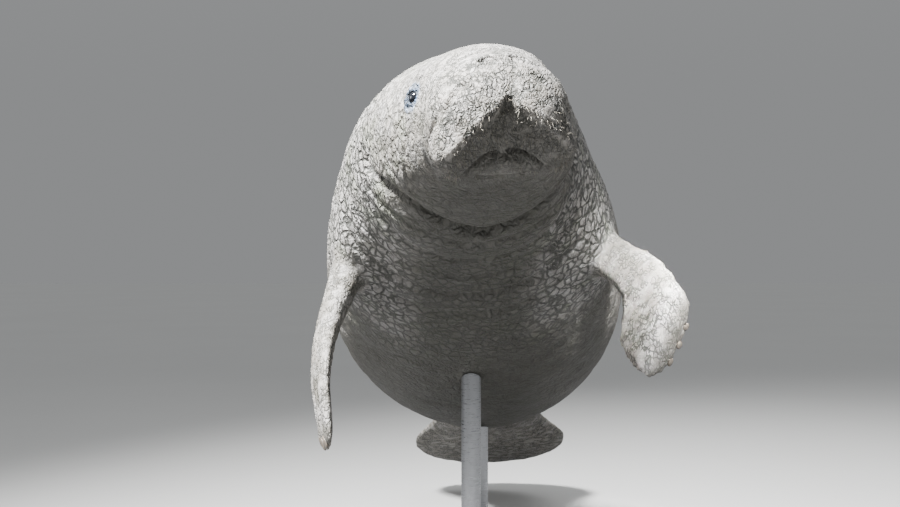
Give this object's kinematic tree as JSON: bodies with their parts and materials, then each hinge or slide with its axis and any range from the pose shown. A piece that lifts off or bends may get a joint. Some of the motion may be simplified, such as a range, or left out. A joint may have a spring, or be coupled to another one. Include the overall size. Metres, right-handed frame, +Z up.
{
  "type": "manatee",
  "caption": "Life-size manatee swimming head-up with flippers hanging, as a museum model held on a flat base by two rods.",
  "frame": {"origin": "centre of the underside of the stand's base", "axes": "+Z up, -Y the way the animal faces, +X towards the animal's left side"},
  "size_m": [0.8, 2.5776, 1.255],
  "materials": {
    "skin": "grey wrinkled hide, paler and warmer where the light falls, darker in the folds",
    "eye": "dark wet glossy eye",
    "nail": "pale smooth horn",
    "stand_base": "matt black painted board",
    "stand_rod": "brushed"
  },
  "bodies": {
    "root": {"head": "skin", "lower_jaw": "skin", "neck": "skin", "torso": "skin", "tail_stock": "skin", "tail_paddle": "skin", "eye_left": "eye", "eye_right": "eye", "flipper_left": "skin", "nail_left_1": "nail", "nail_left_2": "nail", "nail_left_3": "nail", "flipper_right": "skin", "nail_right_1": "nail", "nail_right_2": "nail", "nail_right_3": "nail", "stand_base": "stand_base", "stand_foot_front": "stand_rod", "stand_foot_rear": "stand_rod", "stand_rod_front": "stand_rod", "stand_rod_rear": "stand_rod"}
  },
  "joints": []
}
